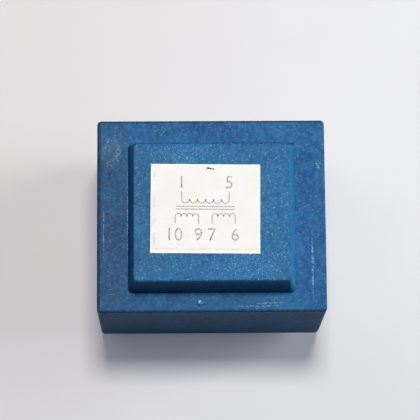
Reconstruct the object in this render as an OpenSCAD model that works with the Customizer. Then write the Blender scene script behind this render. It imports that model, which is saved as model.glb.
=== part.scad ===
// Encapsulated transformer for a printed circuit board. An interleaved EI core
// and a split bobbin are cast in resin, inside a moulded case with a stepped top.
//
// Millimetres. The origin is the centre of the case's rim, where it seats on the
// board. X runs along the width, +Y is the back, +Z is up, and the pins reach
// below zero. The sheets lie flat, and the coil's axis runs along Y. The case
// takes its size from the core, and its raised pad from the coil, which stands
// above the core.

/* [Core] */
// Width of the centre leg of an E sheet
tongue_w = 9.6; // [9:0.1:10.5]
// Width of the window on each side of the centre leg
window_w = 7.7; // [7:0.1:9]
// Length of the window, from yoke to yoke
window_l = 19.5; // [18:0.5:22]
// Width of each outer leg of an E sheet
leg_w = 5; // [4.5:0.1:6]
// Depth of a yoke, and of the I sheet that closes the windows
yoke_d = 5; // [4.5:0.1:6]
// Thickness of one steel sheet
sheet_t = 0.475; // [0.4:0.025:0.5]
// Oxide and varnish between two sheets
sheet_gap = 0.025; // [0.015:0.005:0.05]
// Number of sheets in the stack
sheet_count = 30; // [26:2:34]
// Gap where an E sheet's legs butt against its I sheet
butt_gap = 0.02; // [0.01:0.01:0.05]

/* [Bobbin] */
// Clearance between the centre leg and the bobbin's tube
tube_gap = 0.15; // [0.1:0.05:0.25]
// Wall of the tube
tube_wall = 0.8; // [0.6:0.1:1]
// Outside corner radius of the tube
tube_r = 0.5; // [0.3:0.1:0.7]
// Thickness of the end flanges and of the partition
flange_t = 0.8; // [0.7:0.1:1]
// Clearance between an end flange and the yoke
flange_end_gap = 0.2; // [0.1:0.05:0.4]
// Clearance between a flange's side edge and the core's outer leg
flange_side_gap = 0.25; // [0.15:0.05:0.5]
// How far the flanges stand proud of the finished coil
flange_margin = 0.7; // [0.3:0.05:0.8]
// Shift of the partition towards the back
partition_shift = 0; // [-2:0.1:2]
// Height of the terminal rails
rail_h = 3.7; // [3.2:0.1:3.9]
// Clearance between a terminal rail and the core above it
rail_gap = 0.3; // [0.1:0.05:0.5]
// From the pin row to the rail's outer face
rail_lip = 1.6; // [1.2:0.1:1.8]
// From the last pin position to the rail's end
rail_end = 2.5; // [1.5:0.1:3]

/* [Windings] */
// Space in the window between the finished coil and the core's outer leg
coil_side_gap = 2; // [1.5:0.05:2.2]
// Thickness of the tape round each section of the coil
outer_tape_t = 0.25; // [0.15:0.05:0.4]
// Thickness of the tape between the two secondaries
separator_tape_t = 0.15; // [0.1:0.05:0.3]
// Share of the secondary's copper that is the inner winding
inner_share = 0.5; // [0.4:0.05:0.6]
// Diameter of the wire ends that lead to the pins
lead_d = 0.35; // [0.3:0.01:0.4]
// Clearance round a wire end in its groove
lead_gap = 0.05; // [0.03:0.01:0.08]
// From a terminal rail's underside down to a wire end
lead_drop = 0.4; // [0.3:0.05:0.6]
// How deep inside its winding a wire end starts
lead_inset = 0.4; // [0.3:0.05:0.5]
// Distance of the inner grooves from the middle of the flange
groove_first = 2.8; // [2.4:0.1:3]
// From an inner groove to the outer one beside it
groove_step = 1.8; // [1.4:0.1:2]
// Turns of each wire end round its pin
wrap_turns = 3; // [2:1:4]

/* [Pins] */
// Pitch of the pin positions along a row
pin_pitch = 5; // [4.8:0.1:5.5]
// How far a pin row lies outside the middle line of the yoke
pin_row_out = 0.25; // [0:0.05:0.5]
// Diameter of a pin's free end
pin_d = 0.8; // [0.6:0.05:1]
// Width across flats of a pin's square root
pin_root_w = 0.75; // [0.6:0.05:0.9]
// Length of a pin below the case's rim
pin_reach = 4; // [3:0.1:5]
// Length of a pin's tapered tip
pin_tip = 0.3; // [0.2:0.05:0.5]
// Depth of a pin's root in the terminal rail
pin_grip = 2.8; // [2:0.1:3]
// Resin over the lower end of a pin's square root
pin_root_cover = 0.15; // [0.1:0.05:0.4]

/* [Solder] */
// Clearance between a solder joint and the terminal rail
solder_gap = 0.1; // [0.05:0.05:0.2]
// Solder outside the turns of a wire end
solder_wall = 0.2; // [0.1:0.05:0.3]
// Solder below the turns of a wire end
solder_below = 0.15; // [0.1:0.05:0.2]
// Height of the solder's taper down the pin
solder_taper = 0.6; // [0.4:0.1:0.7]
// Solder outside the corners of the pin where the taper ends
solder_foot = 0.1; // [0.05:0.05:0.2]

/* [Resin] */
// How far the resin's surface lies inside the case's rim
resin_recess = 0.8; // [0.4:0.1:1.5]
// Resin over the flanges' lower edges
resin_cover = 1; // [0.8:0.1:1.5]

/* [Case] */
// Wall of the case
wall = 1.2; // [1:0.1:1.5]
// Clearance between the core and the case's side walls
core_gap_x = 0.3; // [0.2:0.05:0.6]
// Clearance between the core and the case's front and back walls
core_gap_y = 0.25; // [0.15:0.05:0.5]
// Clearance between the core and the underside of the shoulder
core_gap_top = 0.9; // [0.4:0.1:1.5]
// Draft of each outside wall, from the shoulder down to the rim
draft = 0.2; // [0.05:0.05:0.4]
// Height of the straight land at the rim
rim_land = 1; // [0.5:0.1:2]
// Radius of the upright outside corners
corner_r = 0.7; // [0.5:0.1:1.2]
// Radius of the upright inside corners
inside_r = 0.5; // [0.3:0.1:0.6]
// Radius of the outside edges of the shoulder and the pad
edge_r = 0.25; // [0.1:0.05:0.4]
// Radius of the inside edges below the shoulder and the pad's ceiling
inside_edge_r = 0.2; // [0.1:0.05:0.3]

/* [Raised pad] */
// Clearance between the tops of the flanges and the pad's side walls
pad_gap_x = 0.45; // [0.25:0.05:0.8]
// Clearance between the coil's ends and the pad's front and back walls
pad_gap_y = 0.7; // [0.6:0.05:1]
// Clearance between the tops of the flanges and the pad's ceiling
ceiling_gap = 0.6; // [0.3:0.1:1]
// How far the pad's sides slope outwards, from its top to the shoulder
pad_slope = 1.04; // [0.8:0.02:1.3]
// Shift of the pad towards the front
pad_shift = 0.47; // [0.3:0.01:0.5]

/* [Gate mark] */
// Diameter of the mark that the moulding gate leaves on the shoulder
gate_d = 1.25; // [0.8:0.05:1.5]
// Height of the gate mark
gate_h = 0.12; // [0.08:0.01:0.2]
// Place of the gate mark, to the left of the middle
gate_left = 1.9; // [0:0.1:10]

/* [Label] */
// Width of the paper label
label_w = 17.9; // [14:0.1:20]
// Depth of the paper label
label_d = 14.8; // [12:0.1:16]
// Thickness of the paper
label_t = 0.1; // [0.06:0.01:0.15]
// How far the label lies to the left of the pad's middle
label_left = 1.07; // [0:0.01:1.2]
// How far the label lies behind the pad's middle
label_back = 0.5; // [0:0.01:1]
// Turn of the label, anticlockwise from above
label_turn = -0.7; // [-2:0.1:2]

/* [Hidden] */
$fn = 48;
slack = 1;                    // how far a cut runs past the face that it opens

// Colours
case_blue = "#41739B";
paper_white = "#F4F1EB";
resin_black = "#23262A";
steel_grey = "#7D8187";
nylon_cream = "#D8D2C0";
copper_red = "#B4663A";
tape_yellow = "#D9B23A";
tin_silver = "#C3C6C9";
solder_grey = "#A9ADB1";

// Core
pitch = sheet_t + sheet_gap;
core_h = sheet_count * pitch;
core_w = tongue_w + 2 * (window_w + leg_w);
core_d = window_l + 2 * yoke_d;

// Coil: how much is wound on the tube, and how far each layer builds up
coil_build = window_w - coil_side_gap - tube_gap - tube_wall;
copper_build = coil_build - outer_tape_t;
inner_build = (copper_build - separator_tape_t) * inner_share;
outer_start = inner_build + separator_tape_t;
coil_rise = tube_gap + tube_wall + coil_build + flange_margin;

// Levels, from the rim upwards
flange_z0 = resin_recess + resin_cover;
core_z0 = flange_z0 + coil_rise;
core_z1 = core_z0 + core_h;
coil_z = (core_z0 + core_z1) / 2;
flange_z1 = core_z1 + coil_rise;
shoulder_z = core_z1 + core_gap_top + wall;
pad_z = flange_z1 + ceiling_gap + wall;
rail_z1 = core_z0 - rail_gap;
rail_z0 = rail_z1 - rail_h;

// Bobbin
tube_w = tongue_w + 2 * (tube_gap + tube_wall);
tube_h = core_h + 2 * (tube_gap + tube_wall);
coil_l = window_l - 2 * flange_end_gap;
section_end = coil_l / 2 - flange_t;
partition_y = [partition_shift - flange_t / 2, partition_shift + flange_t / 2];
flange_half_w = tongue_w / 2 + window_w - flange_side_gap;
flange_half_top = tube_w / 2 + coil_build + flange_margin;

// Pins: numbers 1 to 5 run from left to right along the back row, and 6 to 10
// from right to left along the front row. Positions 2, 3, 4 and 8 are empty.
PRIMARY_PINS = [1, 5];
INNER_SECONDARY_PINS = [10, 9];
OUTER_SECONDARY_PINS = [6, 7];
USED_PINS = concat(PRIMARY_PINS, INNER_SECONDARY_PINS, OUTER_SECONDARY_PINS);
POSITIONS = [1:10];
pin_y = window_l / 2 + yoke_d / 2 + pin_row_out;
pin_root_z = resin_recess + pin_root_cover;
pin_top_z = rail_z0 + pin_grip;
function pin_column(n) = n <= 5 ? n - 3 : 8 - n;
function pin_side(n) = n <= 5 ? 1 : -1;
function pin_place(n) = [pin_column(n) * pin_pitch, pin_side(n) * pin_y];

// Wire ends: each leaves its winding at a build-up, follows a groove in the
// flange to the lead level, passes under the rail and wraps round its pin.
lead_z = rail_z0 - lead_drop - lead_d / 2;
bend_swell = 1.1;
wrap_r = pin_root_w / sqrt(2) + lead_gap + lead_d / 2;
wrap_z1 = lead_z + lead_d / 2 + lead_gap;
wrap_z0 = wrap_z1 - wrap_turns * lead_d;
groove_w = lead_d + 2 * lead_gap;
groove_y = section_end + lead_gap + lead_d / 2;
function groove_x(n) = sign(pin_column(n))
    * (groove_first + (abs(pin_column(n)) - 1) * groove_step);
function wrap_entry(n) =
    pin_place(n) - wrap_r * [sign(pin_column(n)), pin_side(n)] / sqrt(2);
function layer_z(build) = coil_z - tube_h / 2 - build;
function lead_build(n) =
    n == PRIMARY_PINS[0] || n == INNER_SECONDARY_PINS[0] ? lead_inset :
    n == PRIMARY_PINS[1] ? copper_build - lead_inset :
    n == INNER_SECONDARY_PINS[1] ? inner_build - lead_inset :
    n == OUTER_SECONDARY_PINS[0] ? outer_start + lead_inset :
    copper_build - lead_inset;

// Solder joint, from the rail down
solder_r = wrap_r + lead_d / 2 + solder_wall;
solder_z1 = rail_z0 - solder_gap;
solder_z0 = wrap_z0 - solder_below;
solder_tip_z = solder_z0 - solder_taper;
solder_tip_r = pin_root_w / sqrt(2) + solder_foot;

// Case and pad, outside, at the height of the shoulder and of the pad's top
shoulder_size = [core_w + 2 * (core_gap_x + wall), core_d + 2 * (core_gap_y + wall)];
rim_size = shoulder_size + 2 * draft * [1, 1];
pad_size = 2 * [flange_half_top + pad_gap_x + wall, coil_l / 2 + pad_gap_y + wall];
pad_h = pad_z - shoulder_z;
pad_foot_size = pad_size + 2 * pad_slope * [1, 1];
pad_centre = [0, -pad_shift];
gate_y = -(shoulder_size.y / 2 + pad_foot_size.y / 2 + pad_shift) / 2;
gate_ball_r = (pow(gate_d / 2, 2) + pow(gate_h, 2)) / (2 * gate_h);

// ---- General shapes ---------------------------------------------------------

// Four round posts at the corners of a rectangle of the given size
module at_corners(size, r) {
    for (sx = [-1, 1], sy = [-1, 1])
        translate([sx * (size.x / 2 - r), sy * (size.y / 2 - r)]) children();
}

// A round post whose upper edge is rounded
module rounded_post(r, edge) {
    rotate_extrude($fn = 32)
        polygon(concat(
            [[0, -edge], [r, -edge]],
            [for (a = [0:22.5:90]) [r - edge + edge * cos(a), edge * (sin(a) - 1)]],
            [[0, 0]]
        ));
}

// A drafted block: straight up to land_z, then tapered up to z1
module drafted_block(size0, size1, z0, land_z, z1, r, edge) {
    hull() {
        at_corners(size0, r) translate([0, 0, z0]) cylinder(h = land_z - z0, r = r, $fn = 32);
        at_corners(size1, r) translate([0, 0, z1]) rounded_post(r, edge);
    }
}

// Draws its 2D child, given in X and Z, as a prism from y0 to y1
module along_y(y0, y1) {
    translate([0, y1, 0]) rotate([90, 0, 0]) linear_extrude(y1 - y0) children();
}

module rounded_rect(size, r) {
    square([size.x, size.y - 2 * r], center = true);
    square([size.x - 2 * r, size.y], center = true);
    at_corners(size, r) circle(r);
}

module rod(from, to, d) {
    run = to - from;
    translate(from)
        rotate([0, acos(run.z / norm(run)), atan2(run.y, run.x)])
            cylinder(h = norm(run), d = d, $fn = 24);
}

// Round wire through a list of points, with a ball a little thicker than the
// wire at each bend
module wire(points, d) {
    for (i = [1:len(points) - 1]) rod(points[i - 1], points[i], d);
    for (i = [1:len(points) - 2]) translate(points[i]) sphere(d = bend_swell * d, $fn = 24);
}

// ---- Core -------------------------------------------------------------------

// An E sheet with its yoke at the back
module e_sheet() {
    leg_l = window_l + yoke_d - butt_gap;
    translate([0, core_d / 2 - yoke_d / 2]) square([core_w, yoke_d], center = true);
    for (x = [-1, 0, 1]) {
        w = x == 0 ? tongue_w : leg_w;
        translate([x * (core_w - leg_w) / 2 - w / 2, core_d / 2 - leg_l])
            square([w, leg_l]);
    }
}

// An I sheet, at the front
module i_sheet() {
    translate([-core_w / 2, -core_d / 2]) square([core_w, yoke_d]);
}

// Every other sheet of the stack, from the given one, turned to face one way
module every_other_sheet(first, turn) {
    for (i = [first:2:sheet_count - 1])
        translate([0, 0, core_z0 + i * pitch])
            rotate([0, 0, turn]) linear_extrude(sheet_t) children();
}

module core_block() {
    difference() {
        translate([-core_w / 2, -core_d / 2, core_z0]) cube([core_w, core_d, core_h]);
        for (s = [-1, 1])
            translate([s * (tongue_w + window_w) / 2 - window_w / 2, -window_l / 2, core_z0 - slack])
                cube([window_w, window_l, core_h + 2 * slack]);
    }
}

module back_e_laminations() { color(steel_grey) every_other_sheet(0, 0) e_sheet(); }
module front_i_laminations() { color(steel_grey) every_other_sheet(0, 0) i_sheet(); }
module front_e_laminations() { color(steel_grey) every_other_sheet(1, 180) e_sheet(); }
module back_i_laminations() { color(steel_grey) every_other_sheet(1, 180) i_sheet(); }

// ---- Bobbin -----------------------------------------------------------------

module coil_outline(build) {
    translate([0, coil_z])
        rounded_rect([tube_w + 2 * build, tube_h + 2 * build], tube_r + build);
}

module tongue_hole_outline() {
    translate([0, coil_z])
        square([tongue_w + 2 * tube_gap, core_h + 2 * tube_gap], center = true);
}

// The upper corners are cut back to clear the sloping walls of the pad
module flange_outline() {
    polygon([
        [-flange_half_w, flange_z0], [flange_half_w, flange_z0],
        [flange_half_w, core_z1], [flange_half_top, flange_z1],
        [-flange_half_top, flange_z1], [-flange_half_w, core_z1]
    ]);
}

module terminal_rail(side) {
    rail_w = 4 * pin_pitch + 2 * rail_end;
    rail_d = pin_y + rail_lip - section_end;
    y0 = side > 0 ? section_end : -section_end - rail_d;
    translate([-rail_w / 2, y0, rail_z0]) cube([rail_w, rail_d, rail_h]);
}

// The moulding before its sockets and grooves
module bobbin_blank() {
    along_y(-coil_l / 2, coil_l / 2) coil_outline(0);
    along_y(section_end, coil_l / 2) flange_outline();
    along_y(-coil_l / 2, -section_end) flange_outline();
    along_y(partition_y[0], partition_y[1]) flange_outline();
    for (side = [-1, 1]) terminal_rail(side);
}

module pin_socket(n) {
    translate([pin_place(n).x, pin_place(n).y, rail_z0 + (pin_grip - slack) / 2])
        cube([pin_root_w, pin_root_w, pin_grip + slack], center = true);
}

// The groove down a flange's inner face, and its way out under the rail
module lead_groove(n) {
    low = min(lead_z, layer_z(lead_build(n))) - groove_w / 2;
    high = max(lead_z, layer_z(lead_build(n))) + groove_w / 2;
    x0 = groove_x(n) - groove_w / 2;
    mirror([0, pin_side(n) > 0 ? 0 : 1, 0]) {
        translate([x0, section_end - slack, low])
            cube([groove_w, groove_w + slack, high - low]);
        translate([x0, section_end - slack, lead_z - groove_w / 2])
            cube([groove_w, flange_t + 2 * slack, groove_w]);
    }
}

module bobbin() {
    color(nylon_cream) difference() {
        bobbin_blank();
        along_y(-coil_l / 2 - slack, coil_l / 2 + slack) tongue_hole_outline();
        for (n = POSITIONS) pin_socket(n);
        for (n = USED_PINS) lead_groove(n);
    }
}

// ---- Windings ---------------------------------------------------------------

// One layer of a section, from one build-up on the tube to another
module wound(y0, y1, build0, build1) {
    along_y(y0, y1) difference() {
        coil_outline(build1);
        coil_outline(build0);
    }
}

module in_primary_section(build0, build1) {
    wound(partition_y[1], section_end, build0, build1);
}

module in_secondary_section(build0, build1) {
    wound(-section_end, partition_y[0], build0, build1);
}

// The turns of a wire end round its pin, pressed together into one sleeve
module pin_wrap(n) {
    translate([pin_place(n).x, pin_place(n).y, wrap_z0]) difference() {
        cylinder(h = wrap_z1 - wrap_z0, r = wrap_r + lead_d / 2);
        translate([0, 0, -slack]) cylinder(h = wrap_z1 - wrap_z0 + 2 * slack, r = wrap_r - lead_d / 2);
    }
}

// A wire end, from inside its winding to its turns round the pin
module lead(n) {
    side = pin_side(n);
    x = groove_x(n);
    start_z = layer_z(lead_build(n));
    wire([
        [x, side * (section_end - lead_d), start_z],
        [x, side * groove_y, start_z],
        [x, side * groove_y, lead_z],
        [x, side * (coil_l / 2 + lead_d), lead_z],
        [wrap_entry(n).x, wrap_entry(n).y, lead_z]
    ], lead_d);
    pin_wrap(n);
}

// The square channel that a wire end leaves in the resin, below the rail
module lead_channel(n) {
    bend = [groove_x(n), pin_side(n) * (coil_l / 2 + lead_d)];
    run = wrap_entry(n) - bend;
    translate([bend.x, bend.y, lead_z - groove_w / 2]) linear_extrude(groove_w) {
        circle(d = groove_w);
        translate([-groove_w / 2, pin_side(n) > 0 ? -flange_t : 0]) square([groove_w, flange_t]);
        rotate(atan2(run.y, run.x))
            translate([0, -groove_w / 2]) square([norm(run), groove_w]);
    }
}

module primary_winding() {
    color(copper_red) {
        in_primary_section(0, copper_build);
        for (n = PRIMARY_PINS) lead(n);
    }
}

module inner_secondary_winding() {
    color(copper_red) {
        in_secondary_section(0, inner_build);
        for (n = INNER_SECONDARY_PINS) lead(n);
    }
}

module outer_secondary_winding() {
    color(copper_red) {
        in_secondary_section(outer_start, copper_build);
        for (n = OUTER_SECONDARY_PINS) lead(n);
    }
}

module secondary_separator_tape() {
    color(tape_yellow) in_secondary_section(inner_build, outer_start);
}

module primary_outer_tape() {
    color(tape_yellow) in_primary_section(copper_build, coil_build);
}

module secondary_outer_tape() {
    color(tape_yellow) in_secondary_section(copper_build, coil_build);
}

// ---- Pins and solder --------------------------------------------------------

module pin(n) {
    color(tin_silver) translate([pin_place(n).x, pin_place(n).y]) {
        translate([0, 0, -pin_reach]) cylinder(h = pin_tip, r1 = pin_d / 4, r2 = pin_d / 2);
        translate([0, 0, pin_tip - pin_reach])
            cylinder(h = pin_root_z + pin_reach - pin_tip, d = pin_d);
        translate([0, 0, (pin_root_z + pin_top_z) / 2])
            cube([pin_root_w, pin_root_w, pin_top_z - pin_root_z], center = true);
    }
}

module solder_blob(n) {
    translate([pin_place(n).x, pin_place(n).y])
        rotate_extrude()
            polygon([
                [0, solder_tip_z], [solder_tip_r, solder_tip_z], [solder_r, solder_z0],
                [solder_r, solder_z1], [0, solder_z1]
            ]);
}

module solder_joint(n) {
    color(solder_grey) difference() {
        solder_blob(n);
        pin(n);
        lead(n);
    }
}

// ---- Case, resin and label --------------------------------------------------

// The case's form, drawn in from its outside by a distance
module case_form(inset, z0, r, edge) {
    inward = 2 * inset * [1, 1];
    drafted_block(rim_size - inward, shoulder_size - inward,
                  z0, rim_land, shoulder_z - inset, r, edge);
    // the pad's slope runs on down to the underside of the shoulder
    sink = wall / pad_h * pad_slope;
    translate(pad_centre)
        drafted_block(pad_foot_size + 2 * sink * [1, 1] - inward, pad_size - inward,
                      shoulder_z - 2 * wall - inset, shoulder_z - wall - inset,
                      pad_z - inset, r, edge);
}

module case() {
    color(case_blue) difference() {
        union() {
            case_form(0, 0, corner_r, edge_r);
            translate([-gate_left, gate_y, shoulder_z + gate_h - gate_ball_r])
                sphere(r = gate_ball_r);
        }
        case_form(wall, -slack, inside_r, inside_edge_r);
    }
}

module potting_resin() {
    color(resin_black) difference() {
        case_form(wall, -slack, inside_r, inside_edge_r);
        translate([-rim_size.x, -rim_size.y, -2 * slack])
            cube([2 * rim_size.x, 2 * rim_size.y, resin_recess + 2 * slack]);
        core_block();
        bobbin_blank();
        along_y(-section_end, section_end) coil_outline(coil_build);
        for (n = USED_PINS) {
            pin(n);
            solder_blob(n);
            lead_channel(n);
        }
    }
}

module label() {
    color(paper_white)
        translate([pad_centre.x - label_left, pad_centre.y + label_back, pad_z + label_t / 2])
            rotate([0, 0, label_turn]) cube([label_w, label_d, label_t], center = true);
}

case();
label();
potting_resin();
back_e_laminations();
front_e_laminations();
back_i_laminations();
front_i_laminations();
bobbin();
primary_winding();
inner_secondary_winding();
outer_secondary_winding();
secondary_separator_tape();
primary_outer_tape();
secondary_outer_tape();
for (n = USED_PINS) {
    pin(n);
    solder_joint(n);
}
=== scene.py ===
"""Looks of a potted mains transformer for a circuit board: blue moulded case, paper label, tinned pins."""

import math

import bmesh
import bpy
from mathutils import Matrix, Vector


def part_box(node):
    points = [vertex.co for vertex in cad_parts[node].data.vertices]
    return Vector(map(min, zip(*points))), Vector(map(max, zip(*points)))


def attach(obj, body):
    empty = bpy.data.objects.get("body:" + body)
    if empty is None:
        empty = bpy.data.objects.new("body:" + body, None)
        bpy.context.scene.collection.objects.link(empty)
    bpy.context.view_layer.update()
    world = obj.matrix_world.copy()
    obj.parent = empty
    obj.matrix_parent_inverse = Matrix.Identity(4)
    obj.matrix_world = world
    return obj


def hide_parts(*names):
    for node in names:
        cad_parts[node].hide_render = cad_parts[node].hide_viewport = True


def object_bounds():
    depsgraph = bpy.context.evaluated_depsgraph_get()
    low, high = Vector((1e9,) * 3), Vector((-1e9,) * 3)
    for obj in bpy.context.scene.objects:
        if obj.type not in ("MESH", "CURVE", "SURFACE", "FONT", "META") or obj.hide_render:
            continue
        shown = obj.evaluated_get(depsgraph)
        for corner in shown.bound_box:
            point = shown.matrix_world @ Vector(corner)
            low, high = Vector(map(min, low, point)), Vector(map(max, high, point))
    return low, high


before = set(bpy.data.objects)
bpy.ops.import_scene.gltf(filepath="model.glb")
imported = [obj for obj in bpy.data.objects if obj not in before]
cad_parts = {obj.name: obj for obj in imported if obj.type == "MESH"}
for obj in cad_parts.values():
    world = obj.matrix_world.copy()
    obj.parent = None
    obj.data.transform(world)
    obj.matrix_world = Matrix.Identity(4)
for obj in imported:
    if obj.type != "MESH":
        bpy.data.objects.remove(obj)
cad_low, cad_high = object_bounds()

MM = 0.001

# Levels, widths and places that the part's source gives, in millimetres.
SHOULDER_LEVEL = 25.3
PAD_TOP_LEVEL = 31.4
RESIN_LEVEL = 0.8
CASE_WALL = 1.2
GATE_PLACE = (-1.9, -14.58)
LABEL_SIZE = (17.9, 14.8)
LABEL_TURN = math.radians(-0.7)
PIN_RADIUS = 0.4
USED_PINS = (1, 5, 6, 7, 9, 10)
SHEET_STEEL = 0.5
FINE_WIRE, THICK_WIRE = 0.16, 0.28
TAPE_LAP = 6

# The label's print, in millimetres from the label's middle.
STROKE = 0.19
PRIMARY_LEVEL, SECONDARY_LEVEL = 1.55, -1.30
CORE_LINES = (0.35, -0.10)
NUMERAL_HEIGHT = 2.2
CAPITALS = 0.73                      # a capital's height, as a share of the font's size

LAMP_AIM = (0, 0, 20)                # mm, the middle of the part
TABLE_GLOW = 0.16                    # share of its own light that the table shows the eye

# A MapRange that eases in and out. Its sockets are 0, the value, 1 and 2, where the value's range starts and
# ends, and 3 and 4, what it gives there, which is 0 and 1 unless they are set.
SMOOTH = {"interpolation_type": "SMOOTHSTEP"}

# A Wave texture repeats after this much of its own scaled units.
WAVE = math.pi / 10


# ---------------------------------------------------------------- nodes and patterns

def linear(code):
    """A colour written as sRGB hex, as the linear values that a shader takes."""
    parts = [int(code[i:i + 2], 16) / 255 for i in (1, 3, 5)]
    return tuple(c / 12.92 if c <= 0.04045 else ((c + 0.055) / 1.055) ** 2.4 for c in parts) + (1.0,)


def add(tree, kind, into=None, **settings):
    """Adds a node with its settings, and gives the sockets that `into` names or numbers what it holds for
    them: a socket is linked, a node stands for its first output, and hex colours and numbers are set."""
    node = tree.nodes.new("ShaderNode" + kind)
    for name, value in settings.items():
        setattr(node, name, value)
    for key, value in (into or {}).items():
        if isinstance(value, bpy.types.Node):
            value = value.outputs[0]
        if isinstance(value, bpy.types.NodeSocket):
            tree.links.new(value, node.inputs[key])
        else:
            node.inputs[key].default_value = linear(value) if isinstance(value, str) else value
    return node


def new_finish(name):
    """A bare material, its node tree, and the Object coordinates that its patterns lie in."""
    material = bpy.data.materials.new(name)
    material.use_nodes = True
    tree = material.node_tree
    tree.nodes.clear()
    return material, tree, add(tree, "TexCoord").outputs["Object"]


def finished(material, height, depth_mm, strength, **sockets):
    """Closes a finish: its shader's sockets by name, and a relief of that depth where the height varies."""
    tree = material.node_tree
    shader = add(tree, "BsdfPrincipled", {
        "Normal": add(tree, "Bump", {"Height": height, "Distance": depth_mm * MM, "Strength": strength}),
        **{name.replace("_", " "): value for name, value in sockets.items()},
    })
    add(tree, "OutputMaterial", {"Surface": shader})
    return material


def blotches(tree, where, size_mm, detail=2.0, rough=0.5, bend=0.0, cut=None, span=(0.0, 1.0)):
    """Smooth noise with blotches about size_mm across; a cut between two levels gives them edges."""
    noise = add(tree, "TexNoise", {
        "Vector": where, "Scale": 1 / (size_mm * MM),
        "Detail": detail, "Roughness": rough, "Distortion": bend,
    })
    if cut is None:
        return noise
    return add(tree, "MapRange", {0: noise, 1: cut[0], 2: cut[1], 3: span[0], 4: span[1]}, **SMOOTH)


def tinted(tree, body, colour, share, strength=1.0):
    """The body's colour turned towards another where a pattern lies, at that strength."""
    if strength < 1:
        share = add(tree, "Math", {0: share, 1: strength}, operation="MULTIPLY")
    # Of a Mix node's sockets, 6 and 7 are the two colours and 2 is the mixed one.
    return add(tree, "Mix", {"Factor": share, 6: body, 7: colour}, data_type="RGBA").outputs[2]


def specks(tree, where, pitch_mm, radius_mm, share, squeeze=(1, 1, 1), angle=0.0):
    """Scattered specks: one in each cell of the pitch, kept for that share of the cells."""
    spread = add(tree, "Mapping", {"Vector": where, "Rotation": (0, 0, angle), "Scale": squeeze},
                 vector_type="TEXTURE")
    cells = add(tree, "TexVoronoi", {"Vector": spread, "Scale": 1 / (pitch_mm * MM)},
                voronoi_dimensions="3D", feature="F1")
    reach = radius_mm / pitch_mm
    dot = add(tree, "MapRange", {0: cells, 1: reach, 2: reach * 0.35}, **SMOOTH)
    pick = add(tree, "SeparateColor", {"Color": cells.outputs["Color"]})
    kept = add(tree, "MapRange", {0: pick, 1: 1 - share, 2: 1 - share * 0.4}, **SMOOTH)
    return add(tree, "Math", {0: dot, 1: kept}, operation="MULTIPLY")


def patch(tree, where, centre, half, edge=None, angle=0.0):
    """1 at the centre and 0 at the rim of a turned oval, sizes in mm; an edge keeps it at 1 further out."""
    spot = add(tree, "Mapping", {
        "Vector": where, "Location": [c * MM for c in centre],
        "Rotation": (0, 0, math.radians(angle)), "Scale": [h * MM for h in half],
    }, vector_type="TEXTURE")
    fall = add(tree, "TexGradient", {"Vector": spot}, gradient_type="SPHERICAL").outputs["Fac"]
    return fall if edge is None else add(tree, "MapRange", {0: fall, 1: 0, 2: edge}, **SMOOTH)


def hairlines(tree, where, size_mm, width):
    """Thin wandering lines where smooth noise crosses its middle value."""
    off = add(tree, "Math", {0: blotches(tree, where, size_mm, 1.5, bend=1.2), 1: 0.5}, operation="SUBTRACT")
    off = add(tree, "Math", {0: off}, operation="ABSOLUTE")
    return add(tree, "MapRange", {0: off, 1: width, 2: width * 0.2}, **SMOOTH)


# ---------------------------------------------------------------- finishes

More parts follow.
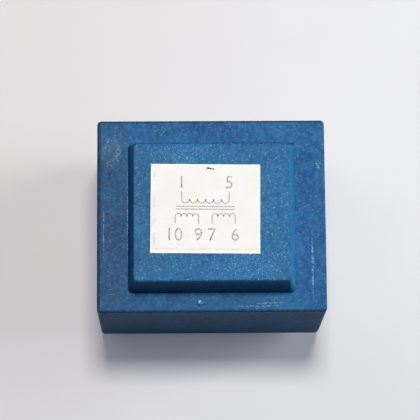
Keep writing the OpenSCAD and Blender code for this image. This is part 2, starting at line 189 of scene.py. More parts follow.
def case_plastic():
    """Glass-filled moulding: blue with cloudy depth, pale fibre ends and dark mottles, a fine matt grain."""
    material, tree, where = new_finish("glass_filled_blue_moulding")
    level = SHOULDER_LEVEL
    spot = add(tree, "SeparateXYZ", {"Vector": where})
    across, along, height = spot.outputs["X"], spot.outputs["Y"], spot.outputs["Z"]
    top = PAD_TOP_LEVEL
    on_pad = add(tree, "MapRange", {0: height, 1: (top - 0.25) * MM, 2: (top - 0.05) * MM}, **SMOOTH)
    body = tinted(tree, "#154f82", "#1c6195", blotches(tree, where, 6, 3, 0.55, cut=(0.36, 0.64)))
    body = tinted(tree, body, "#236a9c", blotches(tree, where, 1.5, 4, 0.6, cut=(0.45, 0.70), span=(0, 0.5)))
    body = tinted(tree, body, "#2b6e9a", on_pad, 0.5)

    # Fine mottle at two scales: dark pits of pigment and lighter glassy spots.
    pits = blotches(tree, where, 0.62, 3, 0.7, cut=(0.50, 0.68), span=(0, 0.60))
    body = tinted(tree, body, "#0d456d", pits)
    clearer = add(tree, "MapRange", {0: on_pad, 1: 0, 2: 1, 3: 0.34, 4: 0.55}, **SMOOTH)
    glassy = add(tree, "Math", {0: blotches(tree, where, 0.34, 2, 0.7, cut=(0.53, 0.68)), 1: clearer},
                 operation="MULTIPLY")
    body = tinted(tree, body, "#4a90b8", glassy)

    # A violet bloom on the back shoulder.
    bloom = add(tree, "Math", {0: patch(tree, where, (4.8, 13.2, level), (4.2, 0.9, 1)),
                               1: blotches(tree, where, 0.7, 3, 0.6, cut=(0.45, 0.62))}, operation="MULTIPLY")
    body = tinted(tree, body, "#3f5490", bloom, 0.5)

    # Pale glass fibre ends: round where a fibre stands up, short dashes where it lies flat, and finer and
    # closer in two clusters on the pad. A real fibre is about 0.015 mm thick, and is drawn coarser to show.
    clusters = add(tree, "Math", {0: patch(tree, where, (6.6, -9.6, top), (7.0, 2.6, 1.5), 0.5),
                                  1: patch(tree, where, (-5.5, 8.8, top), (6.5, 2.2, 1.5), 0.7)},
                   operation="MAXIMUM")
    pale = add(tree, "Math", {0: specks(tree, where, 0.24, 0.085, 0.9), 1: clusters}, operation="MULTIPLY")
    for fibres in (
        specks(tree, where, 0.42, 0.10, 0.46),
        specks(tree, where, 0.60, 0.13, 0.42, (0.5, 2.1, 1), 0.6),
        specks(tree, where, 0.66, 0.13, 0.42, (0.5, 2.3, 1), 2.1),
    ):
        pale = add(tree, "Math", {0: pale, 1: fibres}, operation="MAXIMUM")
    brighter = add(tree, "MapRange", {0: on_pad, 1: 0, 2: 1, 3: 0.33, 4: 0.74}, **SMOOTH)
    body = tinted(tree, body, "#93cbea", add(tree, "Math", {0: pale, 1: brighter}, operation="MULTIPLY"))

    # The left shoulder is rubbed dull: greyer, with a dusting of lilac and white grains.
    dull = add(tree, "Math", {0: patch(tree, where, (-16.6, 1, level), (4.4, 26, 2.5), 0.6),
                              1: blotches(tree, where, 2.0, 3, 0.6, cut=(0.30, 0.70), span=(0.4, 1.0))},
               operation="MULTIPLY")
    body = tinted(tree, body, "#2e4d68", dull, 0.60)
    grains = add(tree, "Math", {0: specks(tree, where, 0.30, 0.09, 0.7), 1: dull}, operation="MULTIPLY")
    body = tinted(tree, body, "#86b4ee", grains, 0.7)

    # The left of the pad and the front shoulder are a quieter, greyer blue.
    quiet = add(tree, "Math", {0: patch(tree, where, (-11.5, -1, top), (8, 16, 3), 0.6),
                               1: patch(tree, where, (-4, -14.6, level), (18, 3.4, 2), 0.5)},
                operation="MAXIMUM")
    body = tinted(tree, body, "#2c4a68", quiet, 0.22)

    # Rubbed streaks along the shoulders: centre, half sizes, and turn in degrees.
    rubbed = None
    for centre, half, angle in (
        ((-8.1, 14.1, level), (1.0, 0.13, 0.6), 52),
        ((7.6, -15.2, level), (4.8, 0.12, 0.6), 0.5),
        ((9.4, -14.7, level), (3.2, 0.09, 0.6), 2),
        ((16.7, -8.0, level), (0.22, 7.2, 0.6), 0),
        ((-13.9, 0.5, level), (0.16, 12.0, 0.9), 0),
        ((-17.9, -3.2, level), (0.12, 6.0, 0.6), 0),
        ((17.9, 8.6, level), (0.5, 0.9, 0.6), 10),
    ):
        streak = patch(tree, where, centre, half, 0.6, angle)
        rubbed = streak if rubbed is None else add(tree, "Math", {0: rubbed, 1: streak}, operation="MAXIMUM")
    rubbed = add(tree, "Math", {0: rubbed, 1: blotches(tree, where, 0.28, 3, 0.7, cut=(0.44, 0.60))},
                 operation="MULTIPLY")

    # A scuffed corner on the left shoulder: a greyed patch crossed by fine hairlines.
    scuff = patch(tree, where, (-16.7, 10.6, level), (2.0, 3.4, 0.9), 0.35, -8)
    body = tinted(tree, body, "#4a7091", scuff, 0.35)
    lines = add(tree, "Math", {0: hairlines(tree, where, 1.7, 0.016), 1: hairlines(tree, where, 0.9, 0.010)},
                operation="MAXIMUM")
    for limit in (scuff, blotches(tree, where, 0.5, 2, cut=(0.42, 0.60))):
        lines = add(tree, "Math", {0: lines, 1: limit}, operation="MULTIPLY")
    rubbed = add(tree, "Math", {0: rubbed, 1: lines}, operation="MAXIMUM")
    body = tinted(tree, body, "#a6cdea", rubbed, 0.62)

    # Painted shade: dark along the left, back and front edges and in the corner behind the raised pad, where
    # the rounded edges and the inside corner fall into shade.
    painted_edge_shade = add(tree, "MapRange", {0: across, 1: -18.25 * MM, 2: -18.62 * MM}, **SMOOTH)
    for start, end in ((15.72, 16.05), (-15.60, -15.92)):
        edge = add(tree, "MapRange", {0: along, 1: start * MM, 2: end * MM}, **SMOOTH)
        painted_edge_shade = add(tree, "Math", {0: painted_edge_shade, 1: edge}, operation="MAXIMUM")
    high = add(tree, "MapRange", {0: height, 1: (level - 1.2) * MM, 2: (level - 0.5) * MM}, **SMOOTH)
    painted_edge_shade = add(tree, "Math", {0: painted_edge_shade, 1: high}, operation="MULTIPLY")
    corner = add(tree, "Math", {0: along, 1: 12.15 * MM}, operation="SUBTRACT")
    corner = add(tree, "Math", {0: corner}, operation="ABSOLUTE")
    corner = add(tree, "MapRange", {0: corner, 1: 0.45 * MM, 2: 0.12 * MM}, **SMOOTH)
    inside = add(tree, "Math", {0: across}, operation="ABSOLUTE")
    inside = add(tree, "MapRange", {0: inside, 1: 14.0 * MM, 2: 13.6 * MM}, **SMOOTH)
    corner = add(tree, "Math", {0: corner, 1: inside}, operation="MULTIPLY")
    painted_edge_shade = add(tree, "Math", {0: painted_edge_shade, 1: corner}, operation="MAXIMUM")
    body = tinted(tree, body, "#0a2b48", painted_edge_shade, 0.78)

    # The straight walls and the pad's front and left flanks are darker in the material itself, because one
    # plain set of lamps alone leaves them too pale. The walls are duller too, as off a rougher mould face.
    walls = add(tree, "MapRange", {0: height, 1: (level - 0.4) * MM, 2: (level - 1.0) * MM}, **SMOOTH)
    flanks = add(tree, "Math", {
        0: add(tree, "MapRange", {0: across, 1: -12.75 * MM, 2: -12.95 * MM}, **SMOOTH),
        1: add(tree, "MapRange", {0: along, 1: -11.85 * MM, 2: -12.05 * MM}, **SMOOTH),
    }, operation="MAXIMUM")
    above = add(tree, "MapRange", {0: height, 1: (level + 0.05) * MM, 2: (level + 0.3) * MM}, **SMOOTH)
    flanks = add(tree, "Math", {0: flanks, 1: above}, operation="MULTIPLY")
    darker = add(tree, "Math", {0: walls, 1: flanks}, operation="MAXIMUM")
    body = tinted(tree, body, "#0b2b42", darker, 0.56)

    # The pad's right flank is lighter in the material itself, because the lamps alone leave it too dark.
    clear = add(tree, "Math", {
        0: add(tree, "MapRange", {0: across, 1: 12.75 * MM, 2: 12.95 * MM}, **SMOOTH),
        1: add(tree, "MapRange", {0: height, 1: (level + 0.1) * MM, 2: (level + 0.5) * MM}, **SMOOTH),
    }, operation="MULTIPLY")
    body = tinted(tree, body, "#3a9fd0", clear, 0.42)

    # A dark, greasy smudge low on the front wall.
    smudge = add(tree, "Math", {0: patch(tree, where, (-0.8, -16.3, 13.4), (3.4, 1.2, 3.2), 0.5),
                                1: blotches(tree, where, 0.9, 3, 0.6, cut=(0.46, 0.62))},
                 operation="MULTIPLY")
    body = tinted(tree, body, "#231f2a", smudge, 0.5)

    # The skin is matt, glossier where it was rubbed and rougher on the walls. The real grain of the mould,
    # about 0.05 mm, is drawn at 0.16 mm so that it shows.
    gloss = blotches(tree, where, 0.9, 4, 0.65, cut=(0.3, 0.7), span=(0.36, 0.52))
    skin = add(tree, "Math", {
        0: add(tree, "Math", {0: blotches(tree, where, 0.16, 2, 0.6), 1: 0.55}, operation="MULTIPLY"),
        1: add(tree, "Math", {0: blotches(tree, where, 0.9, 3, 0.5), 1: 0.45}, operation="MULTIPLY"),
    }, operation="ADD")
    polish = add(tree, "Math", {0: rubbed, 1: 0.10}, operation="MULTIPLY")
    gloss = add(tree, "Math", {0: gloss, 1: polish}, operation="SUBTRACT")
    rougher = add(tree, "Math", {0: walls, 1: 0.20}, operation="MULTIPLY")
    gloss = add(tree, "Math", {0: gloss, 1: rougher}, operation="ADD")
    flatter = add(tree, "Math", {0: rubbed, 1: 0.4}, operation="MULTIPLY")
    skin = add(tree, "Math", {0: skin, 1: flatter}, operation="SUBTRACT")
    return finished(material, skin, 0.02, 0.40, Base_Color=body, Roughness=gloss, Metallic=0.0, IOR=1.46,
                    Specular_IOR_Level=0.07)


def label_paper(low, high):
    """Uncoated printing paper: warm white with a fibre tooth, a painted highlight along its cut edges,
    handled at the left.
    """
    material, tree, where = new_finish("uncoated_label_paper")
    centre = (low + high) / 2
    half = Vector((LABEL_SIZE[0] / 2, LABEL_SIZE[1] / 2, 1)) * MM
    flat = add(tree, "Mapping", {
        "Vector": where, "Location": centre, "Rotation": (0, 0, LABEL_TURN), "Scale": half,
    }, vector_type="TEXTURE")
    spot = add(tree, "SeparateXYZ", {"Vector": flat})
    across, along = spot.outputs["X"], spot.outputs["Y"]
    # Paper fibres are about 0.03 mm wide, and are drawn coarser to show.
    pulp = add(tree, "Mapping", {"Vector": where, "Rotation": (0, 0, 0.5), "Scale": (1, 2.6, 1)},
               vector_type="TEXTURE")
    fibre = blotches(tree, pulp, 0.14, 3, 0.6)
    sheet = tinted(tree, "#f3efe8", "#f5f4f1", blotches(tree, where, 4, 3, cut=(0.35, 0.65)))
    fuzz = add(tree, "MapRange", {0: fibre, 1: 0.35, 2: 0.75, 3: 0, 4: 0.5}, **SMOOTH)
    sheet = tinted(tree, sheet, "#e9e5df", fuzz)
    warm_place = (centre.x / MM - 4.5, centre.y / MM + 2.2, centre.z / MM)
    sheet = tinted(tree, sheet, "#f6ead9", patch(tree, where, warm_place, (4.5, 4.0, 1)), 0.30)

    # A soft grey line along the lower edge and a thumbed strip at the left: place and width as shares of the
    # label's half size, then the size of the breaks in it and their levels.
    marks = []
    for spread, line, width, size_mm, cut in (
        (along, 0.905, 0.035, 1.8, (0.38, 0.66)),
        (across, 0.93, 0.045, 1.4, (0.42, 0.66)),
    ):
        off = add(tree, "Math", {0: spread, 1: line}, operation="ADD")
        off = add(tree, "Math", {0: off}, operation="ABSOLUTE")
        near = add(tree, "MapRange", {0: off, 1: width, 2: 0.0}, **SMOOTH)
        breaks = blotches(tree, where, size_mm, 3, 0.6, cut=cut)
        marks.append(add(tree, "Math", {0: near, 1: breaks}, operation="MULTIPLY"))
    worn = add(tree, "Math", {0: marks[0], 1: marks[1]}, operation="MAXIMUM")
    sheet = tinted(tree, sheet, "#c9c7c8", worn, 0.55)

    # Painted highlight: the paper is whiter in a thin band along its cut edges all round.
    rims = []
    for spread, start, end in ((across, 0.972, 0.988), (along, 0.966, 0.985)):
        off = add(tree, "Math", {0: spread}, operation="ABSOLUTE")
        rims.append(add(tree, "MapRange", {0: off, 1: start, 2: end}, **SMOOTH))
    sheet = tinted(tree, sheet, "#fbfbfb", add(tree, "Math", {0: rims[0], 1: rims[1]}, operation="MAXIMUM"))
    pressed = add(tree, "Math", {0: worn, 1: 0.8}, operation="MULTIPLY")
    tooth = add(tree, "Math", {0: fibre, 1: pressed}, operation="SUBTRACT")
    return finished(material, tooth, 0.008, 0.5, Base_Color=sheet, Roughness=0.72, Metallic=0.0, IOR=1.45)


def print_ink():
    """Thin grey toner: starved in places, so the paper shows through the strokes."""
    material, tree, where = new_finish("starved_grey_toner")
    starved = blotches(tree, where, 0.22, 3, 0.7, cut=(0.38, 0.66))
    return finished(material, blotches(tree, where, 0.06), 0.003, 0.4, Metallic=0.0, Roughness=0.6,
                    Base_Color=tinted(tree, "#a39c95", "#cdc8c2", starved))


def scorched_grit():
    """Black scorched grit pressed into the paper's edge."""
    material, tree, where = new_finish("black_grit")
    return finished(material, blotches(tree, where, 0.08), 0.02, 0.6, Metallic=0.0, Roughness=0.8,
                    Base_Color=tinted(tree, "#121113", "#2b292b", blotches(tree, where, 0.15, 3)))


def poured_resin():
    """Black casting resin: glossy, slightly uneven where it settled, with grey dust and pinhole bubbles."""
    material, tree, where = new_finish("poured_black_resin")
    body = tinted(tree, "#1f2226", "#2a2c31", blotches(tree, where, 5, 3))
    bubbles = specks(tree, where, 1.3, 0.16, 0.45)
    body = tinted(tree, body, "#0d0e10", bubbles, 0.6)
    dust = blotches(tree, where, 0.25, 4, 0.75, cut=(0.62, 0.80), span=(0, 0.35))
    body = tinted(tree, body, "#6d7074", dust)
    pinholes = add(tree, "Math", {0: bubbles, 1: 0.35}, operation="MULTIPLY")
    waves = add(tree, "Math", {0: blotches(tree, where, 4.5, 1.5, 0.4), 1: pinholes}, operation="SUBTRACT")
    return finished(material, waves, 0.22, 0.6, Base_Color=body, Metallic=0.0, IOR=1.54,
                    Roughness=blotches(tree, where, 2.0, 3, cut=(0.3, 0.7), span=(0.10, 0.26)))


def lamination_steel():
    """Silicon steel sheets on edge: blue-grey oxide, rust flecks, dark varnish in each joint."""
    material, tree, where = new_finish("oxidised_silicon_steel")
    sheets = add(tree, "TexWave", {
        "Vector": where, "Scale": WAVE / (SHEET_STEEL * MM), "Distortion": 0.15, "Detail": 1.0,
    }, wave_type="BANDS", bands_direction="Z", wave_profile="SIN").outputs["Fac"]
    face = tinted(tree, "#70757c", "#868b93", blotches(tree, where, 2.5, 4, 0.6, cut=(0.35, 0.65)))
    face = tinted(tree, face, "#24262a", add(tree, "MapRange", {0: sheets, 1: 0.25, 2: 0.0}, **SMOOTH))
    face = tinted(tree, face, "#6b4a35", blotches(tree, where, 0.5, 4, 0.7, cut=(0.62, 0.78), span=(0, 0.5)))
    return finished(material, sheets, 0.04, 0.6, Base_Color=face, Metallic=0.85,
                    Roughness=blotches(tree, where, 0.6, 3, cut=(0.3, 0.7), span=(0.34, 0.55)))


def bobbin_nylon():
    """Natural moulded nylon: cream, waxy and faintly see-through, with flow lines."""
    material, tree, where = new_finish("natural_nylon")
    drawn_out = add(tree, "Mapping", {"Vector": where, "Scale": (3, 1, 1)}, vector_type="TEXTURE")
    flow = blotches(tree, drawn_out, 1.6, 3, 0.5, 0.4)
    creamy = add(tree, "MapRange", {0: flow, 1: 0.35, 2: 0.65}, **SMOOTH)
    return finished(material, flow, 0.02, 0.4, Base_Color=tinted(tree, "#d3cbb4", "#dfd8c5", creamy),
                    Roughness=blotches(tree, where, 0.8, 3, cut=(0.3, 0.7), span=(0.38, 0.52)),
                    Metallic=0.0, IOR=1.53, Subsurface_Weight=0.08, Subsurface_Scale=0.001)


def winding_wire(wire_mm):
    """Enamelled copper laid turn by turn: ruddy varnish, which pools dark in the groove between turns."""
    material, tree, where = new_finish("enamelled_copper_%d_microns" % round(wire_mm * 1000))
    turns = add(tree, "TexWave", {
        "Vector": where, "Scale": WAVE / (wire_mm * MM), "Distortion": 0.3, "Detail": 1.0,
    }, wave_type="BANDS", bands_direction="Y", wave_profile="SIN").outputs["Fac"]
    body = tinted(tree, "#a8643a", "#bb7346", blotches(tree, where, 1.8, 3))
    body = tinted(tree, body, "#4a2414", add(tree, "MapRange", {0: turns, 1: 0.35, 2: 0.0}, **SMOOTH))
    gloss = add(tree, "MapRange", {0: turns, 1: 0.0, 2: 1.0, 3: 0.45, 4: 0.24}, **SMOOTH)
    return finished(material, turns, wire_mm * 0.4, 0.8, Base_Color=body, Roughness=gloss, Metallic=0.9,
                    Coat_Weight=0.6, Coat_Roughness=0.12)


def polyester_tape():
    """Yellow polyester film tape: glossy, with the edges of its laps and small wrinkles."""
    material, tree, where = new_finish("yellow_polyester_tape")
    laps = add(tree, "TexWave", {"Vector": where, "Scale": WAVE / (TAPE_LAP * MM), "Distortion": 0.4},
               wave_type="BANDS", bands_direction="Z", wave_profile="SAW").outputs["Fac"]
    body = tinted(tree, "#d3a32a", "#deb23f", blotches(tree, where, 3, 3))
    body = tinted(tree, body, "#a87f1c", add(tree, "MapRange", {0: laps, 1: 0.94, 2: 1.0}, **SMOOTH))
    pulled = add(tree, "Mapping", {"Vector": where, "Scale": (1, 1, 4)}, vector_type="TEXTURE")
    wrinkles = add(tree, "Math", {0: blotches(tree, pulled, 0.9, 2, 0.5, 0.8), 1: laps}, operation="ADD")
    return finished(material, wrinkles, 0.03, 0.4, Base_Color=body, Metallic=0.0, IOR=1.57,
                    Coat_Weight=0.4, Coat_Roughness=0.08,
                    Roughness=blotches(tree, where, 1.2, 3, cut=(0.3, 0.7), span=(0.16, 0.34)))


def tin_plate():
    """Bright tin on drawn wire: silver with draw lines, made coarse enough to show, and duller smears."""
    material, tree, where = new_finish("bright_tin_plate")
    drawn_out = add(tree, "Mapping", {"Vector": where, "Scale": (1, 1, 9)}, vector_type="TEXTURE")
    drawn = blotches(tree, drawn_out, 0.12, 3, 0.6)
    smear = blotches(tree, where, 0.7, 3, 0.6, cut=(0.45, 0.70))
    bright = add(tree, "MapRange", {0: drawn, 1: 0.3, 2: 0.7}, **SMOOTH)
    body = tinted(tree, tinted(tree, "#b9bbbc", "#d6d7d6", bright), "#a09d96", smear, 0.5)
    gloss = add(tree, "Math", {
        0: add(tree, "MapRange", {0: drawn, 1: 0.3, 2: 0.7, 3: 0.20, 4: 0.30}, **SMOOTH),
        1: add(tree, "Math", {0: smear, 1: 0.15}, operation="MULTIPLY"),
    }, operation="ADD")
    return finished(material, drawn, 0.006, 0.5, Base_Color=body, Roughness=gloss, Metallic=1.0)


def satin_solder():
    """Set tin solder: satin grey, frosted where it cooled last, with an amber flux stain."""
    material, tree, where = new_finish("satin_tin_solder")
    frost = blotches(tree, where, 0.2, 4, 0.7, cut=(0.40, 0.65))
    body = tinted(tree, "#b4b7ba", "#92959a", frost)
    body = tinted(tree, body, "#8a6a3c", blotches(tree, where, 0.9, 2, cut=(0.56, 0.74), span=(0, 0.5)))
    gloss = add(tree, "MapRange", {0: frost, 1: 0, 2: 1, 3: 0.22, 4: 0.50}, **SMOOTH)
    return finished(material, frost, 0.01, 0.5, Base_Color=body, Roughness=gloss, Metallic=0.95)


def torn_plastic():
    """Fresh torn face of the blue plastic: glossier, with a pale painted highlight a little left of the
    stub's middle.
    """
    material, tree, where = new_finish("torn_blue_plastic")
    body = tinted(tree, "#1f5f96", "#4690c2", blotches(tree, where, 0.3, 3, 0.6))
    # Painted highlight: a pale spot on the stub, a little left of and behind its middle.
    painted_highlight_place = (GATE_PLACE[0] - 0.2, GATE_PLACE[1] + 0.2, SHOULDER_LEVEL + 0.2)
    body = tinted(tree, body, "#8cc6ea", patch(tree, where, painted_highlight_place, (0.45, 0.45, 0.4), 0.6), 0.75)
    return finished(material, blotches(tree, where, 0.1, 3, 0.7), 0.02, 0.6, Base_Color=body, Metallic=0.0,
                    IOR=1.46, Roughness=blotches(tree, where, 0.2, 2, cut=(0.3, 0.7), span=(0.22, 0.38)))


# ---------------------------------------------------------------- pieces

def new_piece(name, form, material, smooth=False):
    """Makes the form an object that rides with the part and takes the given finish."""
    if smooth:
        for face in form.faces:
            face.smooth = True
    mesh = bpy.data.meshes.new(name)
    form.to_mesh(mesh)
    form.free()
    piece = bpy.data.objects.new(name, mesh)
    bpy.context.scene.collection.objects.link(piece)
    mesh.materials.append(material)
    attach(piece, "root")
    return piece


def label_sheet(low, high, material):
    """The stuck-on paper sheet, with its cut edge a little rounded by the knife."""
    thick, rounding = 0.084 * MM, 0.03 * MM
    sheet = bmesh.new()
    bmesh.ops.create_grid(sheet, x_segments=60, y_segments=50, size=0.5)
    bmesh.ops.scale(sheet, vec=(LABEL_SIZE[0] * MM, LABEL_SIZE[1] * MM, 1), verts=sheet.verts)
    lifted = bmesh.ops.extrude_face_region(sheet, geom=sheet.faces[:])
    top = {v for v in lifted["geom"] if isinstance(v, bmesh.types.BMVert)}
    bmesh.ops.translate(sheet, vec=(0, 0, thick), verts=list(top))
    bmesh.ops.recalc_face_normals(sheet, faces=sheet.faces)
    brim = [e for e in sheet.edges if e.is_manifold and set(e.verts) <= top and e.calc_face_angle(0) > 1.0]
    bmesh.ops.bevel(sheet, geom=brim, offset=rounding, offset_type="OFFSET", affect="EDGES",
                    segments=2, profile=0.5, material=-1)
    bmesh.ops.rotate(sheet, cent=(0, 0, 0), matrix=Matrix.Rotation(LABEL_TURN, 3, "Z"), verts=sheet.verts)
    centre = (low + high) / 2
    bmesh.ops.translate(sheet, vec=(centre.x, centre.y, low.z), verts=sheet.verts)
    return new_piece("label_sheet", sheet, material)


def flat_words(words, height):
    """Text as a flat mesh, centred across on the origin and standing on it."""
    curve = bpy.data.curves.new("words", "FONT")
    curve.body = words
    curve.size = height / CAPITALS
    curve.align_x = "CENTER"
    curve.resolution_u = 3
    curve.offset = -0.012 * height
    holder = bpy.data.objects.new("words", curve)
    bpy.context.scene.collection.objects.link(holder)
    bpy.context.view_layer.update()
    mesh = bpy.data.meshes.new_from_object(holder.evaluated_get(bpy.context.evaluated_depsgraph_get()))
    bpy.data.objects.remove(holder)
    return mesh


def bar(form, x0, y0, x1, y1):
    """A flat printed rectangle between two corners, in mm."""
    made = bmesh.ops.create_grid(form, x_segments=1, y_segments=1, size=0.5)["verts"]
    bmesh.ops.scale(form, vec=((x1 - x0) * MM, (y1 - y0) * MM, 1), verts=made)
    bmesh.ops.translate(form, vec=((x0 + x1) / 2 * MM, (y0 + y1) / 2 * MM, 0), verts=made)


def humps(form, left, right, level, count, side):
    """The row of half rings that stands for a winding: each is a short stroke spun half round its centre."""
    pitch = (right - left) / count
    for k in range(count):
        middle = left + pitch * (k + 0.5)
        ends = [form.verts.new(((middle + pitch / 2 + offset) * MM, level * MM, 0))
                for offset in (-STROKE / 2, STROKE / 2)]
        edge = form.edges.new(ends)
        bmesh.ops.spin(form, geom=ends + [edge], cent=(middle * MM, level * MM, 0), axis=(0, 0, side),
                       dvec=(0, 0, 0), angle=math.pi, steps=14, use_merge=False, use_duplicate=False)


def label_print(low, high, material):
    """A generic winding diagram: primary above, two secondaries below, and the terminal numbers."""
    ink = bmesh.new()
    humps(ink, -3.9, 3.9, PRIMARY_LEVEL, 6, -1)
    for x in (-3.9, 3.9):
        bar(ink, x - STROKE / 2, PRIMARY_LEVEL, x + STROKE / 2, 2.9)
    for y in CORE_LINES:
        bar(ink, -4.8, y - STROKE / 2, 4.8, y + STROKE / 2)
    for left, right in ((-4.9, -1.1), (1.1, 4.9)):
        humps(ink, left, right, SECONDARY_LEVEL, 4, 1)
        for x in (left, right):
            bar(ink, x - STROKE / 2, -2.5, x + STROKE / 2, SECONDARY_LEVEL)
    for words, x, y in (("1", -3.9, 3.4), ("5", 3.9, 3.4), ("10", -5.1, -5.3), ("9", -1.1, -5.3),
                        ("7", 1.1, -5.3), ("6", 4.9, -5.3)):
        mesh = flat_words(words, NUMERAL_HEIGHT * MM)
        mesh.transform(Matrix.Translation((x * MM, y * MM, 0)))
        ink.from_mesh(mesh)
        bpy.data.meshes.remove(mesh)
    for face in ink.faces:
        if face.normal.z < 0:
            face.normal_flip()
    film, foot = 0.010 * MM, 0.080 * MM       # the ink's thickness, and its start above the label's foot
    raised = bmesh.ops.extrude_face_region(ink, geom=ink.faces[:])
    bmesh.ops.translate(ink, vec=(0, 0, film),
                        verts=[v for v in raised["geom"] if isinstance(v, bmesh.types.BMVert)])
    bmesh.ops.recalc_face_normals(ink, faces=ink.faces)
    bmesh.ops.rotate(ink, cent=(0, 0, 0), matrix=Matrix.Rotation(LABEL_TURN, 3, "Z"), verts=ink.verts)
    centre = (low + high) / 2
    bmesh.ops.translate(ink, vec=(centre.x, centre.y, low.z + foot), verts=ink.verts)
    return new_piece("label_print", ink, material)


def label_grit(low, high, material):
    """Flat black grains at the label's far edge: place from its middle, width and depth, in mm."""
    grit = bmesh.new()
    centre = (low + high) / 2
    thick, lift = 0.016 * MM, 0.088 * MM
    for x, y, wide, deep in (
        (0.52, 6.74, 0.46, 0.34), (0.92, 6.66, 0.36, 0.30),
        (1.32, 6.60, 0.34, 0.24), (0.16, 6.54, 0.20, 0.16),
    ):
        made = bmesh.ops.create_icosphere(grit, subdivisions=2, radius=0.5)["verts"]
        bmesh.ops.scale(grit, vec=(wide * MM, deep * MM, thick), verts=made)
        bmesh.ops.translate(grit, vec=(centre.x + x * MM, centre.y + y * MM, low.z + lift), verts=made)
    return new_piece("label_grit", grit, material)


def gate_vestige(material):
    """The broken-off stub of the moulding gate: a low ring with a torn, hollow middle, on the gate's dome."""
    stub = bmesh.new()
    middle = Vector((GATE_PLACE[0] * MM, GATE_PLACE[1] * MM, 0))
    base = (SHOULDER_LEVEL + 0.02) * MM
    profile = [(0.0, 0.06), (0.10, 0.10), (0.20, 0.19), (0.29, 0.24), (0.38, 0.21), (0.46, 0.12), (0.52, 0.0)]
    chain = [stub.verts.new((middle.x + r * MM, middle.y, base + z * MM)) for r, z in profile]
    edges = [stub.edges.new(pair) for pair in zip(chain, chain[1:])]
    bmesh.ops.spin(stub, geom=chain + edges, cent=middle, axis=(0, 0, 1), dvec=(0, 0, 0), angle=math.tau,
                   steps=28, use_merge=True, use_duplicate=False)
    bmesh.ops.remove_doubles(stub, verts=stub.verts, dist=1e-7)
    bmesh.ops.contextual_create(stub, geom=[e for e in stub.edges if e.is_boundary])
    for v in stub.verts:
        if v.co.z > base + 0.01 * MM:         # the foot stays round, and all above it is torn
            turn = math.atan2(v.co.y - middle.y, v.co.x - middle.x)
            v.co.z += (0.035 * math.sin(3 * turn + 0.6) + 0.02 * math.sin(7 * turn)) * MM
            v.co.x += 0.03 * math.sin(2 * turn) * MM
    bmesh.ops.recalc_face_normals(stub, faces=stub.faces)
    return new_piece("gate_vestige", stub, material, smooth=True)


def resin_menisci(material):
    """Where the resin wets each pin it climbs a little: a hollow-sided ring spun round the pin."""
    rings = bmesh.new()
    radius, reach, rise = PIN_RADIUS * MM, 0.55 * MM, 0.42 * MM
    level = (RESIN_LEVEL + 0.02) * MM
    inner = radius * 0.9                      # inside the pin, so the ring's own wall never shows
    profile = [(inner, level)]
    for i in range(9):
        t = i / 8
        profile.append((radius + reach * (1 - t) ** 2.2 + 0.004 * MM, level - rise * t ** 2.2))
    profile.append((inner, level - rise))
    for number in USED_PINS:
        low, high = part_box("pin_%d" % number)
        middle = Vector(((low.x + high.x) / 2, (low.y + high.y) / 2, 0))
        loop = [rings.verts.new((middle.x + r, middle.y, z)) for r, z in profile]
        edges = [rings.edges.new(pair) for pair in zip(loop, loop[1:] + loop[:1])]
        bmesh.ops.spin(rings, geom=loop + edges, cent=middle, axis=(0, 0, 1), dvec=(0, 0, 0),
                       angle=math.tau, steps=40, use_merge=True, use_duplicate=False)
    bmesh.ops.remove_doubles(rings, verts=rings.verts, dist=1e-7)
    bmesh.ops.recalc_face_normals(rings, faces=rings.faces)
    return new_piece("resin_menisci", rings, material, smooth=True)


def resin_wall_creep(material):
    """A narrow hollow fillet where the resin wets the inside of the case wall, thicker in the corners."""
    low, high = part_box("case")
    half = Vector((high.x - low.x, high.y - low.y)) / 2 - Vector((CASE_WALL, CASE_WALL)) * MM
    level, climb, behind, corner = (RESIN_LEVEL + 0.01) * MM, 0.35 * MM, -0.1 * MM, 0.8 * MM
    rows = [((0.02 + 0.6 * (1 - i / 6) ** 2.2) * MM, level - climb * (i / 6) ** 2.2) for i in range(7)]
    rows += [(behind, level - climb), (behind, level)]
    fillet = bmesh.new()
    ring = []
    for cx, cy, start in ((1, 1, 0), (-1, 1, 90), (-1, -1, 180), (1, -1, 270)):
        for step in range(7):
            turn = math.radians(start + 15 * step)
            ring.append(fillet.verts.new((cx * (half.x - behind - corner) + corner * math.cos(turn),
                                          cy * (half.y - behind - corner) + corner * math.sin(turn), level)))
    edges = [fillet.edges.new(pair) for pair in zip(ring, ring[1:] + ring[:1])]
    inset, z = behind, level
    for next_inset, next_z in rows:
        grown = bmesh.ops.extrude_edge_only(fillet, edges=edges)["geom"]
        ring = {part for part in grown if isinstance(part, bmesh.types.BMVert)}
        edges = [part for part in grown if isinstance(part, bmesh.types.BMEdge) and set(part.verts) <= ring]
        bmesh.ops.scale(fillet, verts=list(ring), vec=((half.x - next_inset) / (half.x - inset),
                                                       (half.y - next_inset) / (half.y - inset), 1))
        bmesh.ops.translate(fillet, verts=list(ring), vec=(0, 0, next_z - z))
        inset, z = next_inset, next_z
    bmesh.ops.remove_doubles(fillet, verts=fillet.verts, dist=1e-7)
    bmesh.ops.recalc_face_normals(fillet, faces=fillet.faces)
    return new_piece("resin_wall_creep", fillet, material, smooth=True)


def dress_cad_nodes(finishes):
    """Each solid that stays gets its finish; a solid's mesh and place are left alone."""
    for name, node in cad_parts.items():
        for start, material in finishes:
            if name.startswith(start):
                node.data.materials.clear()
                node.data.materials.append(material)
                break


# ---------------------------------------------------------------- studio

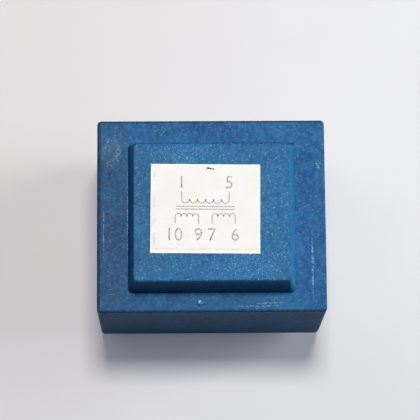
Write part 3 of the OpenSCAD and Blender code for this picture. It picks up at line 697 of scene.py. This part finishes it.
def tabletop(level):
    """A pale matt board. The eye sees it a little paler than its own shade, so the shadow stays soft."""
    top = bmesh.new()
    bmesh.ops.create_circle(top, cap_ends=True, segments=96, radius=1.5)
    bmesh.ops.translate(top, vec=(0, 0, level), verts=top.verts)
    mesh = bpy.data.meshes.new("pale_tabletop")
    top.to_mesh(mesh)
    top.free()
    piece = bpy.data.objects.new("pale_tabletop", mesh)
    bpy.context.scene.collection.objects.link(piece)
    material, tree, where = new_finish("pale_matt_board")
    spot = add(tree, "SeparateXYZ", {"Vector": where})
    # Painted shade: the board is a little darker and warmer towards its left, as the light falls from the
    # right.
    rightwards = add(tree, "MapRange", {0: spot.outputs["X"], 1: -35 * MM, 2: 35 * MM}, **SMOOTH)
    body = tinted(tree, "#eee8e4", "#f5f4f1", rightwards)
    body = tinted(tree, body, "#eceaea", blotches(tree, where, 18, 3, cut=(0.3, 0.7), span=(0, 0.25)))
    # Painted shade: the board darkens and turns bluer towards the front, where the part's shadow falls.
    nearer = add(tree, "MapRange", {0: spot.outputs["Y"], 1: 0, 2: -45 * MM, 3: 0, 4: 0.6}, **SMOOTH)
    body = tinted(tree, body, "#dfe0e7", nearer)
    board = add(tree, "BsdfDiffuse", {"Color": body, "Roughness": 0.6})
    # The glow the eye sees is tinted blue, which paints the shade on the board bluer.
    glow = add(tree, "Emission", {"Color": tinted(tree, body, "#c2cdf0", 0.7), "Strength": 0.93})
    seen = add(tree, "LightPath").outputs
    eye = add(tree, "Math", {0: seen["Is Camera Ray"], 1: seen["Is Transmission Ray"]}, operation="MAXIMUM")
    shown = add(tree, "Math", {0: eye, 1: TABLE_GLOW}, operation="MULTIPLY")
    add(tree, "OutputMaterial", {"Surface": add(tree, "MixShader", {0: shown, 1: board, 2: glow})})
    mesh.materials.append(material)


def softbox(name, place_mm, size, watts, tint):
    """A lamp aimed at the middle of the part; its place in mm and its size in metres."""
    lamp = bpy.data.lights.new(name, "AREA")
    lamp.shape = "RECTANGLE"
    lamp.size, lamp.size_y = size
    lamp.energy = watts
    lamp.color = linear(tint)[:3]
    holder = bpy.data.objects.new(name, lamp)
    start, end = Vector(place_mm) * MM, Vector(LAMP_AIM) * MM
    holder.location = start
    holder.rotation_euler = (end - start).to_track_quat("-Z", "Y").to_euler()
    bpy.context.scene.collection.objects.link(holder)


def room():
    """Dim surroundings for the light, and a pale backdrop for the eye, metal and gloss past the table."""
    world = bpy.data.worlds.new("pale_room")
    bpy.context.scene.world = world
    world.use_nodes = True
    tree = world.node_tree
    tree.nodes.clear()
    seen = add(tree, "LightPath").outputs
    toward = add(tree, "SeparateXYZ", {"Vector": add(tree, "TexCoord").outputs["Generated"]})
    aside = add(tree, "Math", {0: toward.outputs["X"], 1: 0.5}, operation="MULTIPLY")
    side = add(tree, "Math", {0: toward.outputs["Y"], 1: aside}, operation="ADD")
    mirrored = add(tree, "MapRange", {0: side, 1: -0.5, 2: 0.5, 3: 0.06, 4: 0.7}, **SMOOTH)
    dim = add(tree, "Background", {"Color": "#b4caff", "Strength": 0.035})
    gloss = add(tree, "Background", {"Color": "#e9e8ea", "Strength": mirrored})
    pale = add(tree, "Background", {"Color": "#e9e8ea", "Strength": 0.95})
    through = add(tree, "Math", {0: seen["Is Glossy Ray"], 1: seen["Is Transmission Ray"]},
                  operation="MAXIMUM")
    light = add(tree, "MixShader", {0: through, 1: dim, 2: gloss})
    shown = add(tree, "MixShader", {0: seen["Is Camera Ray"], 1: light, 2: pale})
    add(tree, "OutputWorld", {"Surface": shown})


def viewpoint():
    """High above the front edge, long lens, almost square on."""
    tilt, lean, turn = -0.18804, 0.01422, 0.00525
    look = Matrix.Rotation(turn, 3, "Z") @ Matrix.Rotation(lean, 3, "Y") @ Matrix.Rotation(tilt, 3, "X")
    shift = Vector((0.2342, -0.946, -338.45)) * MM
    lens = bpy.data.cameras.new("viewpoint")
    lens.lens = 174.57
    lens.sensor_width = 36
    lens.clip_start, lens.clip_end = 0.01, 10
    holder = bpy.data.objects.new("viewpoint", lens)
    bpy.context.scene.collection.objects.link(holder)
    holder.matrix_world = (Matrix.Translation(Vector((0, 0, SHOULDER_LEVEL * MM)) - look.transposed() @ shift)
                           @ look.transposed().to_4x4())
    bpy.context.scene.camera = holder


# ---------------------------------------------------------------- making

viewpoint()
paper_low, paper_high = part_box("label")
paper, resin = label_paper(paper_low, paper_high), poured_resin()
steel, tape = lamination_steel(), polyester_tape()
fine_wire, thick_wire = winding_wire(FINE_WIRE), winding_wire(THICK_WIRE)
dress_cad_nodes((
    ("case", case_plastic()),
    ("potting_resin", resin),
    ("back_e", steel),
    ("front_e", steel),
    ("back_i", steel),
    ("front_i", steel),
    ("bobbin", bobbin_nylon()),
    ("primary_winding", fine_wire),
    ("inner_secondary_winding", thick_wire),
    ("outer_secondary_winding", thick_wire),
    ("secondary_", tape),
    ("primary_outer", tape),
    ("pin_", tin_plate()),
    ("solder_joint_", satin_solder()),
    ("label", paper),
))
sheet = label_sheet(paper_low, paper_high, paper)
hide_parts("label")
label_print(paper_low, paper_high, print_ink())
label_grit(paper_low, paper_high, scorched_grit())
gate_vestige(torn_plastic())
resin_menisci(resin)
resin_wall_creep(resin)

tabletop(cad_low.z)
softbox("overhead_softbox", (16, 160, 800), (0.15, 0.13), 4.5, "#fffdfa")
softbox("left_softbox", (-420, 260, 620), (0.50, 0.45), 0.7, "#ffffff")
softbox("right_softbox", (730, 104, 372), (0.40, 0.36), 4.4, "#f2f7ff")
room()

bpy.context.scene.view_settings.view_transform = "Standard"
